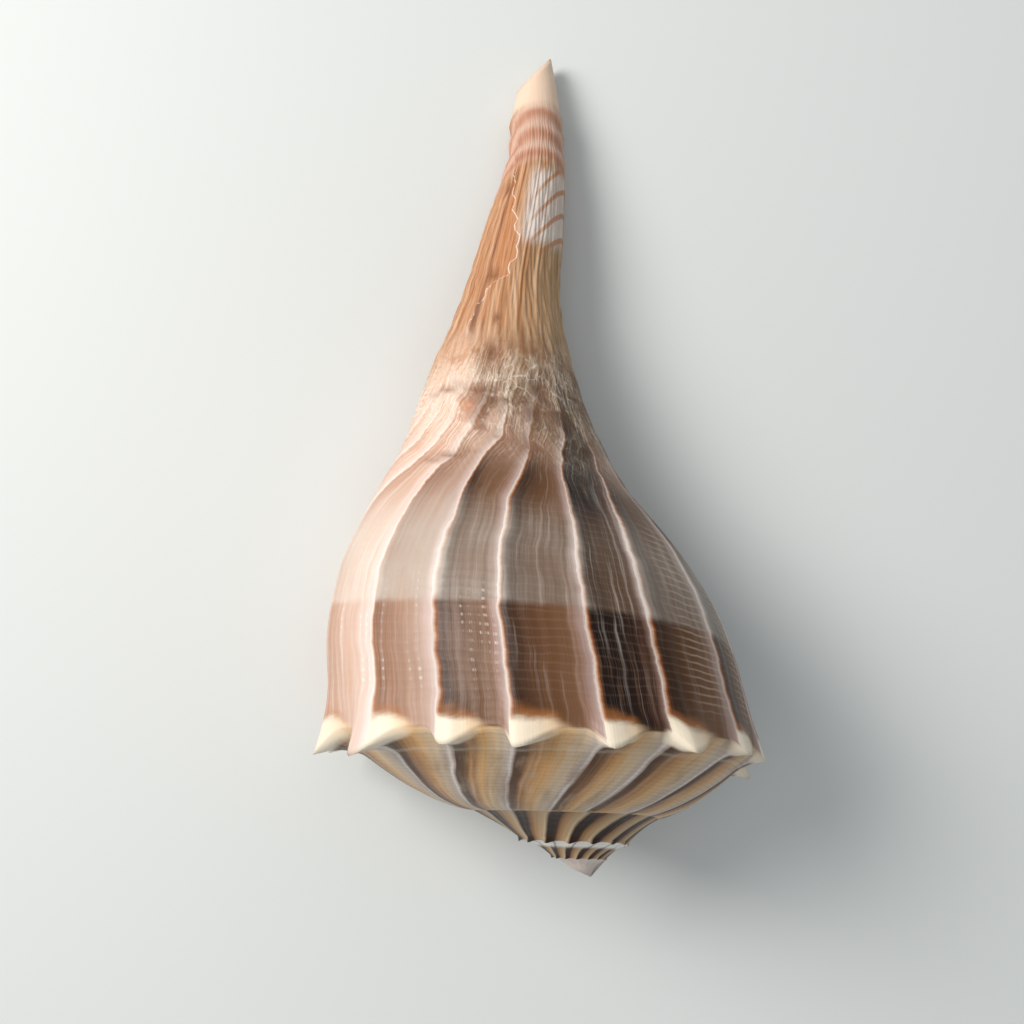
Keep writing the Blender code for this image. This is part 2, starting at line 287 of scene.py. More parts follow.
def put(radius, depth, angle):
    turn = np.radians(angle)
    under = np.maximum(np.sin(turn), 0.0)
    height = -radius * np.sin(turn) * (1.0 - coil["undersideFlattening"] * under)
    side = readOutline(depth, 2) - radius * np.cos(turn)
    sag = coil["canalSag"] * rise(depth, coil["sagBegins"], coil["sagLength"])
    return np.stack((side, depth, height - sag), -1)


def spineSize(column):
    age = ageOf(column)
    young = np.ceil(age) - age
    climb = smooth(1.0 - (1.0 - young) / spines["oldSide"]) ** spines["rounding"]
    drop = smooth(1.0 - young / spines["youngSide"]) ** spines["rounding"]
    each = np.interp(age, np.arange(len(spines["sizes"])), spines["sizes"])
    each = each * np.where(age > spines["smallFrom"], spines["smallShare"], 1.0)
    return np.maximum(climb, drop) * np.minimum(age, 1.0) * each


def sideDepths():
    foot = np.linspace(coil["shoulderDepth"], fineness["footDepth"], footRows - rampFootRows + 1)[1:]
    return np.concatenate((foot, np.linspace(fineness["footDepth"], endDepth, sideRows + 1)[1:]))


def rampShares(angle):
    edge = cover(angle)[:, None]
    inner = edge * np.arange(rampRows + 1) / rampRows
    outer = mix(edge, 1.0, np.arange(1, rampFootRows + 1) / rampFootRows)
    return np.concatenate((inner, outer), 1)


def pushSpines(points, column, angle, near):
    size = growth(columnAngle(column)) * spines["height"] * spineSize(column)
    push = size[:, None] * np.maximum(near, 0.0) ** spines["taper"]
    turn = np.radians(angle)
    outwards, upwards = spines["lean"]
    way = np.stack((-outwards * np.cos(turn), np.full_like(turn, -upwards), -outwards * np.sin(turn)), -1)
    return points + push[..., None] * way


def wave(turns):
    return np.sin(2.0 * np.pi * turns)


def ridgePlace(age, across):
    # counts ridges instead of spines, and bends the lines of growth in the neck
    known = relief["ridgeAges"]
    place = np.interp(age, known, np.arange(len(known)))
    place = np.where(age > known[-1], age + relief["ridgeLag"], place)
    near = across + np.linspace(-relief["bendSpread"], relief["bendSpread"], 7)[:, None, None]
    bend = np.interp(near, relief["bendPlaces"], relief["bends"]).mean(0)
    place = relief["bendFrom"] - (relief["bendFrom"] - place) * bend
    # two slow and two quick waves, so that no two ridges are alike
    slow = np.sin(across * 0.45 + age * 1.7) + 0.6 * np.sin(across * 1.1 + age * 2.3)
    quick = np.sin(across * 0.6 + age * 2.1) + 0.6 * np.sin(across * 1.3 + age * 4.0)
    neck = rise(across, *relief["neckWobbleFrom"]) * (1.0 - rise(across, *relief["neckWobbleTo"]))
    return place + relief["wobble"] * slow + relief["neckWobble"] * neck * quick


def reliefDepth(place, across, depth, size):
    # how far the surface lies below its highest ridges
    grown = 1.0 - (place - np.floor(place))
    ridge = rise(grown, *relief["ridgeRises"]) * (1.0 - rise(grown, *relief["ridgeFalls"]))
    height = np.where(across < 0.0, relief["rampRidgeHeight"], relief["ridgeHeight"]) * size
    height = height * mix(1.0, relief["ridgeLow"], rise(across, *relief["ridgeLowFrom"]))
    height = height * mix(1.0, relief["rampLow"], rise(-across, *relief["rampLowFrom"]))
    low = height * (1.0 - rise(across, *relief["ridgeEnds"])) * (1.0 - ridge)

    line = wave(place * 5.3 + 0.13 * np.sin(across * 0.21))
    line = line + 0.7 * wave(place * 3.1 + 0.2 * np.sin(across * 0.13 + 1.0))
    low = low + relief["lineHeight"] * size * (1.7 - line) * 0.5 * (1.0 - rise(depth, *relief["lineEnds"]))

    neck = rise(across, *relief["neckBegins"]) * (1.0 - rise(across, *relief["neckEnds"]))
    lumps = np.sin(place * 9.0 + across * 0.31) * np.sin(across * 0.42 + 2.0 * np.sin(place * 4.1))
    low = low + relief["neckHeight"] * neck * (1.0 - lumps) * 0.5

    rings = [np.exp(-((depth - middle) / relief["ringWidth"]) ** 2) for middle in relief["ringDepths"]]
    ring = np.maximum.reduce(rings)
    return low + relief["ringHeight"] * rise(depth, *relief["collarBegins"]) * (1.0 - ring)


def spotAt(there, depth, angle, middle, wide, long):
    return np.exp(-((there - angle) / wide) ** 2 - ((depth - middle) / long) ** 2)


def scarMarks(there, depth):
    # how deep the scars go, how far each place is from the flap's edge, and how strong a pit is there
    low = np.zeros_like(depth)
    pit = np.zeros_like(depth)
    for *where, deep in scars["pits"]:
        spot = spotAt(there, depth, *where)
        low = low + deep * spot
        pit = np.maximum(pit, spot)
    for *where, high in scars["knobs"]:
        low = low - high * spotAt(there, depth, *where)
    edge = np.interp(depth, scars["flapDepths"], scars["flapAngles"])
    for wide, pitch in scars["flapRagged"]:
        edge = edge + wide * np.sin(depth * pitch)
    past = there - edge
    along = rise(depth, *scars["flapBegins"]) * (1.0 - rise(depth, *scars["flapEnds"]))
    step = rise(past, *scars["flapRises"]) * (1.0 - rise(past, *scars["flapFalls"]))
    low = low + scars["flapHeight"] * along * step
    return np.maximum(low, -scars["highest"]), past / scars["flapScale"] * along, pit


def layOutside(sutures, column, whole):
    # a block of columns: the points, and the marks that the material reads
    angle = columnAngle(column)
    size = growth(angle)[:, None]
    shares = rampShares(angle)
    radius, depth, there = rampPoint(sutures, column[:, None], shares)
    width = (shoulder(angle)[0] - sutures[column, 0])[:, None]
    near = 1.0 - (1.0 - shares) * width / (spines["reachUp"] * size)
    across = (shares - 1.0) * width
    if whole:
        below = sideDepths()[None, :]
        sideRadius, sideDepth, sideAngle = sidePoint(angle[:, None], below)
        level = np.zeros_like(sideRadius)
        radius = np.concatenate((radius, sideRadius), 1)
        depth = np.concatenate((depth, sideDepth), 1)
        there = np.concatenate((there, sideAngle), 1)
        sideNear = 1.0 - (below - coil["shoulderDepth"]) / spines["reachDown"]
        near = np.concatenate((near, sideNear + level), 1)
        across = np.concatenate((across, below - coil["shoulderDepth"] + level), 1)
        shares = np.concatenate((shares, level + 1.0), 1)
    points = pushSpines(put(radius, depth, there), column, there, near)
    age = ageOf(column)[:, None] + 0.0 * shares
    place = ridgePlace(age, across)
    low = reliefDepth(place, across, depth, np.minimum(size, 1.0))
    low = low * (1.0 - relief["spineFlat"] * spineSize(column)[:, None] * np.maximum(near, 0.0))
    scarred, flap, pit = scarMarks(there, depth)
    low = np.maximum(low + scarred, 0.0)
    normal = np.cross(np.gradient(points, axis=1), np.gradient(points, axis=0))
    normal /= np.maximum(np.linalg.norm(normal, axis=-1, keepdims=True), 1e-9)
    points = points - low[..., None] * normal
    marks = np.stack((place, across, there, depth, shares, flap, pit), -1)
    if not whole:
        points, marks = points[:, :rampRows + 1], marks[:, :rampRows + 1]
    return points, marks


def wallThickness(shares, below):
    ramp = mix(walls["suture"], walls["body"], smooth(shares / walls["thinRampShare"]))
    side = mix(walls["body"], walls["canal"], canalShare(below))
    side = mix(side, walls["tip"], rise(below, coil["tipBegins"], endDepth - coil["tipBegins"]))
    return np.concatenate((ramp, side + np.zeros((len(shares), 1))), 1)


def layInside(sutures, column):
    angle = columnAngle(column)
    foot = shoulder(columnAngle(column - lapColumns))[0]
    start = (foot - sutures[column, 0]) / (shoulder(angle)[0] - sutures[column, 0])
    shares = mix(start[:, None], 1.0, rampShares(angle))
    below = sideDepths()[None, :]
    back = (coil["lipAngle"] - angle)[:, None]
    ramp = rampPoint(sutures, column[:, None], shares)
    side = sidePoint(angle[:, None], below, back)
    radius, depth, there = (np.concatenate((a, b), 1) for a, b in zip(ramp, side))
    thick = wallThickness(shares, below)
    slope = np.arctan2(np.gradient(depth, axis=1), np.gradient(radius, axis=1))
    return put(radius - thick * np.sin(slope), depth + thick * np.cos(slope), there)


def layColumella(column, share):
    angle = columnAngle(column)
    back = (columnAngle(openColumn) - angle)[:, None]
    below = sideDepths()[None, footRows - rampFootRows - 1:]
    radius, depth, there = sidePoint(angle[:, None], below, back)
    neck = rise(below, fineness["footDepth"], walls["columellaNeck"])
    taper = smooth(share / walls["columellaTurn"])[:, None] * neck
    return put(mix(radius, walls["columella"], taper), depth, there)


class Weave:
    def __init__(self):
        self.points, self.faces, self.marks, self.inside = [], [], [], []
        self.count = 0

    def keep(self, points):
        ids = self.count + np.arange(points.size // 3).reshape(points.shape[:-1])
        self.points.append(points.reshape(-1, 3))
        self.count += ids.size
        return ids

    def sew(self, ids, marks, inside):
        # marks and the inside share are kept for each face's corners, because turns share their edges
        corners = ((slice(None, -1), slice(None, -1)), (slice(1, None), slice(None, -1)),
                   (slice(1, None), slice(1, None)), (slice(None, -1), slice(1, None)))
        inside = np.broadcast_to(inside, ids.shape)
        self.faces += np.stack([ids[c] for c in corners], -1).reshape(-1, 4).tolist()
        self.marks.append(np.stack([marks[c] for c in corners], -2).reshape(-1, marks.shape[-1]))
        self.inside.append(np.stack([inside[c] for c in corners], -1).reshape(-1))

    def addFace(self, face, mark, inside):
        self.faces.append(face)
        self.marks.append(np.tile(mark, (len(face), 1)))
        self.inside.append(np.full(len(face), inside))

    def closeGap(self, left, right, mark):
        # two lines with different numbers of points
        i = j = 0
        while i < len(left) - 1 or j < len(right) - 1:
            if (i + 1) / (len(left) - 1) <= (j + 1) / (len(right) - 1):
                face = (left[i], left[i + 1], right[j])
                i += 1
            else:
                face = (left[i], right[j + 1], right[j])
                j += 1
            if len(set(face)) == 3:
                self.addFace(face, mark, 1.0)


def weaveShell():
    weave = Weave()
    sutures = laySutures()
    spire = np.arange(openColumn + 1)
    body = np.arange(openColumn, lastColumn + 1)
    spirePoints, spireMarks = layOutside(sutures, spire, False)
    bodyPoints, bodyMarks = layOutside(sutures, body, True)
    spireIds = weave.keep(spirePoints[:-1])
    bodyIds = weave.keep(bodyPoints)
    spireIds = np.concatenate((spireIds, bodyIds[:1, :rampRows + 1]))
    allOuter = np.concatenate((spireIds[:-1, rampRows], bodyIds[:, rampRows]))
    later = np.arange(lapColumns, openColumn + 1)
    spireIds[later, 0] = allOuter[later - lapColumns]
    bodyIds[:, 0] = allOuter[body - lapColumns]
    weave.sew(spireIds, spireMarks, 0.0)
    weave.sew(bodyIds, bodyMarks, 0.0)
    print("outside woven")

    hollow = lastColumn - np.arange(fineness["chamberColumns"] + 1) * fineness["chamberStep"]
    wallPoints = layInside(sutures, hollow)
    share = np.arange(len(hollow)) / (len(hollow) - 1)
    pillarIds = weave.keep(layColumella(hollow - lapColumns, share))
    pillarIds[0] = bodyIds[0, footRow:]
    wallIds = weave.keep(wallPoints)
    wallIds[:, 0] = pillarIds[:, 0]

    outer, inner = bodyPoints[-1], wallPoints[0]
    across = inner - outer
    forward = np.cross(across, np.gradient(outer, axis=0))
    forward /= np.linalg.norm(forward, axis=-1, keepdims=True)
    share = (np.arange(1, footRows) / footRows)[:, None, None]
    bulge = walls["lipBulge"] * np.linalg.norm(across, axis=-1, keepdims=True) * np.sin(np.pi * share)
    edgeIds = weave.keep(outer + share * across + bulge * forward)
    edgeIds[:, 0] = bodyIds[0, rampRows + 1:footRow]
    edgeIds = np.concatenate((bodyIds[-1:], edgeIds, wallIds[:1]))

    lipMarks = np.repeat(bodyMarks[-1:], len(edgeIds), 0)
    wallMarks = np.repeat(bodyMarks[-1:], len(wallIds), 0)
    pillarMarks = np.repeat(bodyMarks[:1, footRow:], len(pillarIds), 0)
    weave.sew(edgeIds, lipMarks, np.linspace(0.0, 1.0, len(edgeIds))[:, None])
    weave.sew(wallIds, wallMarks, 1.0)
    within = np.minimum(np.arange(len(pillarIds)) / fineness["pillarBlend"], 1.0)
    weave.sew(pillarIds, pillarMarks, within[:, None])
    mark = bodyMarks[-1, -1]
    weave.closeGap(list(wallIds[-1]), list(pillarIds[-1]), mark)
    innerEnd = list(pillarIds[:, -1]) + list(wallIds[::-1, -1]) + list(edgeIds[-2::-1, -1])
    weave.closeGap(list(bodyIds[:, -1]), innerEnd, mark)
    apex = weave.keep(np.array(((0.0, coil["apexDepth"], 0.0),)))[0]
    loop = list(spireIds[:lapColumns, 0]) + list(spireIds[0, :0:-1])
    for first, second in zip(loop, loop[1:] + loop[:1]):
        weave.addFace((first, second, apex), spireMarks[0, 0], 0.0)
    return weave


def layDown(points):
    # turned as the shell lies, then set in the CAD solid's box
    lean = Matrix.Rotation(math.radians(coil["axisLean"]), 3, "Z")
    tilt = Matrix.Rotation(math.radians(-coil["axisTilt"]), 3, "X")
    turned = mm * points @ np.array(lean @ tilt).T
    corners = np.array([tuple(corner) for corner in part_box("whelk_shell")])
    low, high = corners.min(0), corners.max(0)
    middle = (turned.min(0) + turned.max(0)) / 2.0
    shift = (low + high) / 2.0 - middle
    shift[2] = low[2] - turned[:, 2].min()
    laid = turned + shift
    flat = laid[:, 2] < mm * coil["restFlat"]
    laid[flat, 2] = 0.0
    return np.clip(laid, low, high)


class Wire:
    # a socket that can be used in sums; each sign adds one Math node
    def __init__(self, paint, socket):
        self.paint, self.socket = paint, socket

    def maths(self, operation, first, second=0.0):
        return self.paint.node("ShaderNodeMath", {"operation": operation}, {0: first, 1: second})

    def __add__(self, other):
        return self.maths("ADD", self, other)

    def __radd__(self, other):
        return self.maths("ADD", other, self)

    def __sub__(self, other):
        return self.maths("SUBTRACT", self, other)

    def __rsub__(self, other):
        return self.maths("SUBTRACT", other, self)

    def __mul__(self, other):
        return self.maths("MULTIPLY", self, other)

    def __rmul__(self, other):
        return self.maths("MULTIPLY", other, self)

    def __truediv__(self, other):
        return self.maths("DIVIDE", self, other)

    def __pow__(self, other):
        return self.maths("POWER", self, other)

    def floor(self):
        return self.maths("FLOOR", self)

    def fract(self):
        return self.maths("FRACT", self)

    def sine(self):
        return self.maths("SINE", self)

    def above(self, other):
        return self.maths("MAXIMUM", self, other)

    def step(self, start, end):
        # 0 before start, 1 after end, with soft shoulders
        settings = {"interpolation_type": "SMOOTHSTEP", "clamp": True}
        return self.paint.node("ShaderNodeMapRange", settings, {0: self, 1: start, 2: end, 3: 0.0, 4: 1.0})

    def band(self, start, end, soft):
        # 1 between start and end
        return self.step(start - soft, start + soft) * (1.0 - self.step(end - soft, end + soft))


class Paint:
    def __init__(self, name):
        self.material = bpy.data.materials.new(name)
        self.material.use_nodes = True
        self.tree = self.material.node_tree
        self.shader = self.tree.nodes["Principled BSDF"]

    def node(self, kind, settings=None, inputs=None, output=0):
        node = self.tree.nodes.new(kind)
        for key, value in (settings or {}).items():
            if key == "stops":
                self.setStops(node.color_ramp, value)
            elif key == "ramp":
                node.color_ramp.interpolation = value
            else:
                setattr(node, key, value)
        for key, value in (inputs or {}).items():
            self.feed(node.inputs[key], value)
        return Wire(self, node.outputs[output])

    def feed(self, socket, value):
        if isinstance(value, Wire):
            self.tree.links.new(value.socket, socket)
        else:
            socket.default_value = value

    def setStops(self, ramp, stops):
        while len(ramp.elements) < len(stops):
            ramp.elements.new(1.0)
        for element, (place, colour) in zip(ramp.elements, stops):
            element.position = place
            element.color = colour

    def map(self, name):
        there = self.node("ShaderNodeUVMap", {"uv_map": name})
        return [self.node("ShaderNodeSeparateXYZ", None, {0: there}, i) for i in range(2)]

    def place(self, x, y):
        return self.node("ShaderNodeCombineXYZ", None, {0: x, 1: y})

    def noise(self, vector, scale, detail, roughness):
        inputs = {"Vector": vector, "Scale": scale, "Detail": detail, "Roughness": roughness}
        return self.node("ShaderNodeTexNoise", None, inputs)

    def blend(self, share, first, second):
        # a Mix node's colours are its sockets 6 and 7, and its output 2
        settings = {"data_type": "RGBA", "clamp_factor": True}
        return self.node("ShaderNodeMix", settings, {0: share, 6: first, 7: second}, 2)

    def ramp(self, share, stops):
        stops = [(place, srgb(colour)) for place, colour in stops]
        return self.node("ShaderNodeValToRGB", {"stops": stops}, {0: share})


def srgb(colour):
    linear = [((c / 255.0 + 0.055) / 1.055) ** 2.4 if c > 10 else c / 255.0 / 12.92 for c in colour]
    return (*linear, 1.0)


# Colours along one stretch of growth, from the older ridge to the younger one. Those of the neck and the
# canal go from the darkest streak to the palest.
stripes = {
    "pale": ((0.0, (236, 226, 220)), (0.07, (232, 210, 200)), (0.3, (226, 190, 170)),
             (0.6, (214, 170, 146)), (0.88, (200, 146, 116)), (0.94, (206, 142, 100)),
             (0.975, (230, 210, 194)), (1.0, (236, 224, 216))),
    "brown": ((0.0, (200, 184, 176)), (0.025, (172, 148, 140)), (0.12, (144, 112, 98)),
              (0.22, (114, 80, 56)), (0.45, (98, 64, 38)), (0.70, (80, 50, 28)),
              (0.88, (48, 27, 14)), (0.93, (74, 40, 18)), (0.955, (146, 84, 42)),
              (0.975, (184, 152, 130)), (1.0, (210, 196, 188))),
    "deep": ((0.0, (184, 166, 158)), (0.025, (132, 104, 92)), (0.11, (76, 48, 34)),
             (0.30, (42, 21, 10)), (0.60, (28, 12, 5)), (0.90, (22, 9, 3)), (0.93, (62, 31, 13)),
             (0.955, (144, 82, 40)), (0.975, (184, 152, 130)), (1.0, (210, 196, 188))),
    "ramp": ((0.0, (220, 210, 204)), (0.05, (190, 174, 160)), (0.24, (206, 180, 148)),
             (0.46, (208, 162, 108)), (0.66, (176, 128, 82)), (0.84, (92, 62, 40)),
             (0.93, (84, 58, 40)), (0.97, (186, 168, 158)), (1.0, (218, 206, 200))),
    "spire": ((0.0, (190, 166, 134)), (0.30, (168, 130, 90)), (0.48, (128, 92, 60)),
              (0.56, (56, 36, 26)), (0.88, (40, 28, 22)), (1.0, (186, 160, 128))),
    "neckLeft": ((0.0, (150, 92, 60)), (0.25, (196, 138, 100)), (0.45, (222, 182, 154)),
                 (0.65, (238, 216, 198)), (1.0, (246, 238, 228))),
    "neckMiddle": ((0.0, (78, 56, 40)), (0.25, (120, 96, 76)), (0.45, (164, 140, 118)),
                   (0.65, (202, 184, 164)), (1.0, (238, 230, 220))),
    "neckRight": ((0.0, (64, 46, 33)), (0.25, (104, 82, 62)), (0.5, (142, 120, 96)),
                  (0.7, (178, 156, 132)), (1.0, (224, 210, 192))),
    "canalLeft": ((0.0, (96, 52, 30)), (0.25, (142, 88, 54)), (0.45, (180, 128, 90)),
                  (0.65, (208, 166, 132)), (1.0, (232, 206, 182))),
    "canalRight": ((0.0, (80, 56, 36)), (0.25, (126, 92, 60)), (0.45, (166, 128, 88)),
                   (0.65, (192, 160, 124)), (1.0, (218, 200, 178))),
}

colours = {
    "cream": (234, 220, 198),
    # the spines' cream in painted shade, also used along the suture
    "creamPaintedShade": (226, 190, 146),
    "orangeEdge": (170, 108, 58),
    "greyDark": (92, 80, 70),
    "greyPale": (236, 222, 208),
    "thread": (196, 170, 142),
    "white": (240, 234, 226),
    "neckBrown": (104, 76, 54),
    "neckPale": (220, 200, 180),
    "neckPeach": (206, 140, 104),
    "peach": (212, 160, 128),
    "inside": (238, 208, 182),
    "collar": (186, 132, 108),
    "arc": (182, 118, 68),
    "pit": (120, 76, 50),
    "tip": (236, 208, 184),
    "purpleBrown": (112, 70, 54),
    "cap": (214, 198, 188),
    "striae": (96, 70, 50),
    "rampBrown": (124, 92, 66),
    "rampPale": (222, 202, 176),
    "flapStrip": (190, 128, 84),
    "canalWhite": (222, 212, 204),
    "ringPale": (224, 196, 178),
}

# How dark each stretch between two ridges is, counted back from the lip
intervalDarkness = (0.04, 0.08, 0.20, 0.46, 0.70, 0.80, 1.0, 0.74, 0.78, 0.80,
                    0.7, 0.75, 0.7, 0.75, 0.7)

# Noises that follow the growth: how fast each goes along it and across it, scale, detail and roughness
grains = {
    "blotch": (1.1, 0.045, 1.6, 4.0, 0.55),
    "streak": (9.0, 0.02, 1.4, 4.0, 0.6),
    "hair": (30.0, 0.03, 1.5, 3.0, 0.6),
    "ragged": (1.5, 0.25, 1.4, 4.0, 0.6),
    "net": (5.0, 0.22, 1.3, 5.0, 0.65),
}

# Where the looks come and go, as a start, an end and, for a band, how soft its edges are
looks = {
    "greyBegins": (26.3, 28.6),             # mm below the keel
    "greyEnds": (50.0, 66.0),
    "brownFades": (58.0, 76.0),
    "neckBegins": (60.0, 92.0),
    "threadBand": (7.0, 54.0, 3.0),
    "weftBand": (8.0, 32.0, 4.0),
    "weftEnds": (4.9, 5.0),                 # ridges back from the lip
    "threadsBegin": (6.95, 7.05),
    "spireBegins": (13.9, 14.3),
    "knobsBegin": (29.0, 31.0),
    "capBegins": (45.0, 47.0),
    "rightOfNeck": (-100.0, -72.0),         # degrees round the axis
    "leftOfNeck": (-72.0, -52.0),
    "canalTurns": (-150.0, -62.0),
    "seamAngles": (-59.0, -53.0, 1.6),
    "flapEnds": (-58.0, -54.0),
    "whiteAngles": (-175.0, -90.0, 10.0),
    "arcsEnd": (-125.0, -85.0),
    "canalBegins": (124.0, 150.0),          # mm from the apex
    "seamDepths": (136.0, 196.0, 5.0),
    "rimDepths": (138.0, 190.0, 4.0),
    "whiteDepths": (164.0, 185.0, 3.0),
    "arcDepths": (160.0, 193.0, 4.0),
    "collarDepths": (188.0, 206.0, 2.0),
    "tipBegins": (202.0, 207.0),
    "threadPitch": 3.2,                     # radians a mm
    "roughness": 0.28,
    "specular": 0.24,
    "bumpStrength": 0.35,
    "bumpDistance": 0.0006,
}

tint = {name: srgb(value) for name, value in colours.items()}


def readDarkness(paint, place):
    count = len(intervalDarkness)
    stops = [(i / count, (d, d, d, 1.0)) for i, d in enumerate(intervalDarkness)]
    settings = {"ramp": "CONSTANT", "stops": stops}
    level = paint.node("ShaderNodeValToRGB", settings, {0: (place.floor() + 0.5) / float(count)})
    return paint.node("ShaderNodeSeparateColor", None, {0: level}, 0)


def readMarks(paint):
    # what the maps say of each place, and the noises there
    at = SimpleNamespace()
    at.place, at.across = paint.map("growthMap")
    at.there, at.depth = paint.map("turnMap")
    at.share, at.inside = paint.map("zoneMap")
    at.flap, at.pit = paint.map("scarMap")
    spot = paint.node("ShaderNodeTexCoord", None, None, 3)
    at.wander = paint.noise(spot, 60.0, 3.0, 0.55) - 0.5
    at.fine = paint.noise(spot, 900.0, 3.0, 0.55)
    at.patch = paint.noise(spot, 110.0, 4.0, 0.62)
    for name, (along, over, *grain) in grains.items():
        setattr(at, name, paint.noise(paint.place(at.place * along, at.across * over), *grain))
    at.ragged = at.ragged - 0.5
    at.grown = 1.0 - (at.place + at.ragged * 0.05).fract()
    at.edge = at.across + at.ragged * 2.0
    greyEnds = (at.edge + at.blotch * 14.0).step(*looks["greyEnds"])
    at.grey = at.edge.step(*looks["greyBegins"]) * (1.0 - greyEnds)
    at.neck = (at.edge + (at.streak - 0.5) * 40.0 + (at.blotch - 0.5) * 24.0).step(*looks["neckBegins"])
    at.thread = ((at.across + at.wander * 3.0) * looks["threadPitch"]).sine() * 0.5 + 0.5
    at.darkness = readDarkness(paint, at.place)
    at.spire = at.place.step(*looks["spireBegins"])
    return at


def paintSide(paint, at):
    # stripes along the growth, crossed by a paler grey band
    grown, darkness, streak, blotch, hair = at.grown, at.darkness, at.streak, at.blotch, at.hair
    mixed = grown + (streak - 0.5) * 0.20 * grown.band(0.1, 0.9, 0.05)
    pale = paint.ramp(mixed, stripes["pale"])
    brown = paint.ramp(mixed + at.grey * 0.03, stripes["brown"])
    deep = paint.ramp(mixed, stripes["deep"])
    amount = darkness * (1.0 - at.edge.step(*looks["brownFades"]) * 0.4) * (0.80 + blotch * 0.4)
    side = paint.blend(amount * 1.4, pale, brown)
    side = paint.blend((darkness - 0.8) * 5.0 * (1.0 - at.grey * 0.75), side, deep)
    grey = paint.blend(darkness * (0.45 + streak * 0.9) * 1.1, tint["greyPale"], tint["greyDark"])
    side = paint.blend(at.grey * grown.band(0.05, 0.93, 0.04) * (0.15 + blotch * 0.85), side, grey)
    nearRidge = grown.step(0.80, 0.97) + (1.0 - grown.step(0.0, 0.12))
    side = paint.blend(at.grey * nearRidge * (blotch * 2.0 - 0.35) * 0.4, side, tint["white"])
    side = paint.blend((streak - 0.45) * 2.4 * (1.0 - darkness * 1.6), side, tint["white"])
    side = paint.blend((0.52 - hair) * 2.6 * (1.0 - darkness * 1.3), side, tint["peach"])

    # fine threads across the growth
    old = at.place.step(*looks["threadsBegin"]) * (1.0 - grown.step(0.35, 0.75))
    threads = at.thread.step(0.72, 0.98) * (0.04 + 0.42 * old) * at.edge.band(*looks["threadBand"])
    side = paint.blend(threads * (0.3 + blotch * 1.4), side, tint["thread"])
    weft = at.thread.step(0.6, 0.9) * streak.step(0.55, 0.68) * at.edge.band(*looks["weftBand"])
    weft = weft * (1.0 - at.place.step(*looks["weftEnds"]))
    side = paint.blend(weft * blotch.step(0.4, 0.65) * 0.5, side, tint["white"])
    return paint.blend(hair.step(0.58, 0.85) * 0.22 * (1.05 - darkness), side, tint["thread"])


def paintNeck(paint, at):
    # mottled, with patches and a net of pale cracks
    mottle = (at.streak * 1.3 + at.net * 0.7 - 1.0) * 1.5 + 0.46
    left = at.there.step(*looks["leftOfNeck"])
    right = 1.0 - at.there.step(*looks["rightOfNeck"])
    onLeft = paint.ramp(mottle + 0.12, stripes["neckLeft"])
    neck = paint.blend(left, paint.ramp(mottle, stripes["neckMiddle"]), onLeft)
    neck = paint.blend(right, neck, paint.ramp(mottle, stripes["neckRight"]))
    neck = paint.blend((at.patch - 0.53) * 9.0 * (0.35 + left * 0.6), neck, tint["neckPale"])
    neck = paint.blend((0.49 - at.patch) * 10.0 * (1.0 - left * 0.6), neck, tint["neckBrown"])
    neck = paint.blend((0.45 - at.patch) * 9.0 * left, neck, tint["neckPeach"])
    net = paint.place(at.place * 3.0 + at.wander * 3.0, at.across * 0.20 + at.wander * 3.0)
    settings = {"feature": "DISTANCE_TO_EDGE"}
    cracks = paint.node("ShaderNodeTexVoronoi", settings, {"Vector": net, "Scale": 1.0})
    return paint.blend((1.0 - cracks.step(0.0, 0.07)) * 0.5 * at.patch.step(0.4, 0.6), neck, tint["white"])


def paintCanal(paint, at, side):
    # streaks, the flap of the old break, a white patch with arcs, and the collar and the tip
    there, depth, wander = at.there, at.depth, at.wander
    flow = (paint.noise(paint.place(there * 0.11, depth * 0.014), 1.6, 5.0, 0.62) - 0.5) * 1.25 + 0.50
    onLeft, onRight = paint.ramp(flow, stripes["canalLeft"]), paint.ramp(flow, stripes["canalRight"])
    canal = paint.blend(1.0 - there.step(*looks["canalTurns"]), onLeft, onRight)
    side = paint.blend((depth + at.blotch * 14.0).step(*looks["canalBegins"]), side, canal)
    seam = (there + wander * 6.0).band(*looks["seamAngles"]) * depth.band(*looks["seamDepths"])
    side = paint.blend(seam * 0.75, side, tint["purpleBrown"])
    strip = at.flap.step(0.0, 0.1) * (1.0 - there.step(*looks["flapEnds"]))
    side = paint.blend(strip * 0.65, side, tint["flapStrip"])
    rim = at.flap.band(-0.12, 0.02, 0.06) * depth.band(*looks["rimDepths"])
    side = paint.blend(rim * 0.7, side, tint["white"])
    white = (depth + wander * 8.0).band(*looks["whiteDepths"]) * there.band(*looks["whiteAngles"])
    side = paint.blend(white * (0.35 + at.patch * 0.8), side, tint["canalWhite"])
    bent = depth + ((there + 180.0).above(0.0) / 26.0) ** 2.0 * 1.2 + wander * 2.0
    arcs = (bent * 0.88).sine().step(0.5, 0.95) * (1.0 - there.step(*looks["arcsEnd"]))
    side = paint.blend(arcs * depth.band(*looks["arcDepths"]) * 0.75, side, tint["arc"])
    bowed = depth + ((there + 100.0) / 60.0) ** 2.0 * 3.0
    collar = bowed.band(*looks["collarDepths"])
    side = paint.blend(collar * 0.8, side, tint["collar"])
    rings = (bowed * 1.05 + wander * 3.0).sine() * 0.5 + 0.5
    side = paint.blend(collar * rings * 0.55, side, tint["ringPale"])
    side = paint.blend((depth + wander * 5.0).step(*looks["tipBegins"]) * 0.9, side, tint["tip"])
    return paint.blend(at.pit * 0.7, side, tint["pit"])


